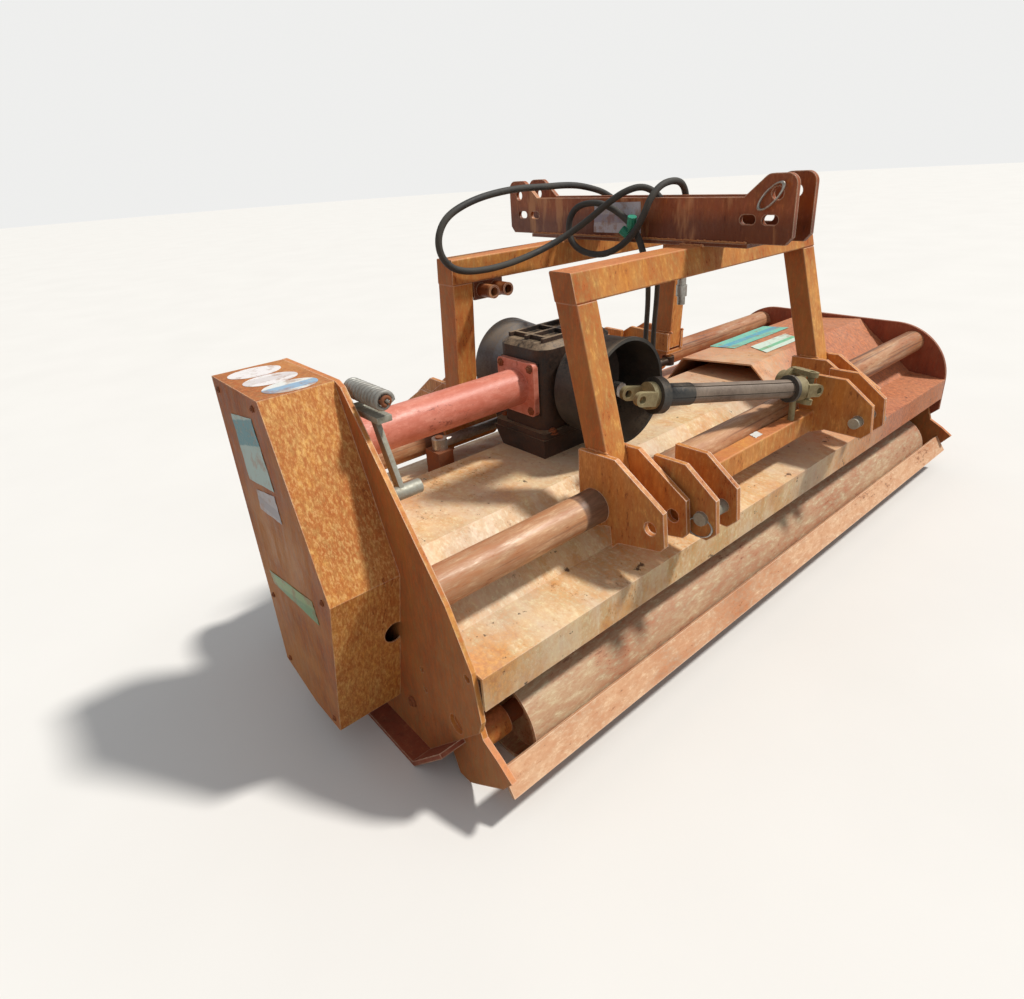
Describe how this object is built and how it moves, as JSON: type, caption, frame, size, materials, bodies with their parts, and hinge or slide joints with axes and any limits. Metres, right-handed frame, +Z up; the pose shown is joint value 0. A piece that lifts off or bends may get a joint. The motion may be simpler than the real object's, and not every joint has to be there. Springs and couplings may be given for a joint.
{
  "type": "tractor flail mulcher with side shift",
  "caption": "Reversible flail mulcher with a roller, belt drive cover, side-shifting three-point hitch and a loose drive shaft half.",
  "frame": {"origin": "centre of the machine's overall box, on the floor that it stands on", "axes": "+X along the rotor from the belt side to the far side, +Z up, -Y towards the roller side"},
  "size_m": [2.275, 1.042, 1.053],
  "materials": {
    "painted": "faded orange-ochre paint, worn",
    "deck_paint": "sun-bleached cream-orange paint",
    "red_paint": "dark red worn paint",
    "rusty_steel": "brown rusted steel",
    "bare_steel": "bright worn steel",
    "black_iron": "black painted casting",
    "salmon_paint": "salmon faded paint",
    "black_plastic": "black weathered plastic",
    "grey_plastic": "grey weathered plastic",
    "rubber": "black rubber",
    "roller_paint": "beige worn roller skin",
    "chrome_steel": "plated, slightly dull",
    "galvanised": "galvanised"
  },
  "bodies": {
    "casing": {"casing_shell": "deck_paint", "side_plate_left": "painted", "side_plate_right": "red_paint", "skid_left": "red_paint", "skid_right": "red_paint", "belt_cover": "painted", "raised_hood": "deck_paint", "slide_bar_front": "painted", "slide_bar_rear": "painted", "gearbox_seat": "black_iron", "gearbox": "black_iron", "drive_tube": "salmon_paint", "shaft_guard_front": "black_plastic", "shaft_guard_rear": "grey_plastic", "tensioner_lever": "galvanised", "tensioner_spring": "galvanised", "rotor_bearing": "rusty_steel", "roller_bracket_left": "painted", "roller_bracket_right": "painted", "scraper": "painted", "intake_curtain": "rubber", "curtain_clamp": "painted", "cylinder_rod": "bare_steel", "cylinder_anchor": "rusty_steel"},
    "hitch": {"post_front_left": "painted", "post_front_right": "painted", "post_rear_left": "painted", "post_rear_right": "painted", "beam_front": "painted", "beam_rear": "painted", "top_beam": "rusty_steel", "lugs_front_left": "painted", "lugs_front_right": "painted", "lugs_rear_left": "painted", "lugs_rear_right": "painted", "cross_tube_front": "painted", "cross_tube_rear": "painted", "link_pins": "galvanised", "cylinder_barrel": "black_iron", "barrel_bracket": "painted", "hose_fittings": "chrome_steel", "hose_front": "rubber", "hose_rear": "rubber", "coupler_hanging": "chrome_steel", "coupler_lying": "chrome_steel", "parking_bracket": "painted", "pto_tube": "grey_plastic", "pto_rings": "black_plastic", "pto_yoke_inner": "rusty_steel", "pto_yoke_outer": "rusty_steel"},
    "rotor": {"rotor_drum": "rusty_steel", "rotor_flails": "rusty_steel"},
    "input": {"input_shaft": "bare_steel"},
    "roller_body": {"roller_tube": "roller_paint", "roller_pins": "rusty_steel"}
  },
  "joints": [
    {"name": "hitch_slide", "type": "slide", "parent": "casing", "child": "hitch", "axis": [1, 0, 0], "range_m": [-0.38, 0.01]},
    {"name": "rotor_spin", "type": "hinge", "parent": "casing", "child": "rotor", "pos_m": [0, -0.005, 0.222], "axis": [1, 0, 0], "continuous": true},
    {"name": "input_spin", "type": "hinge", "parent": "casing", "child": "input", "pos_m": [-0.3485, 0.0465, 0.604], "axis": [0, 1, 0], "continuous": true},
    {"name": "roller_spin", "type": "hinge", "parent": "casing", "child": "roller_body", "pos_m": [0, -0.325, 0.095], "axis": [1, 0, 0], "continuous": true}
  ],
  "couplings": [
    {"joint": "input_spin", "follows": "rotor_spin", "ratio": 0.27}
  ]
}
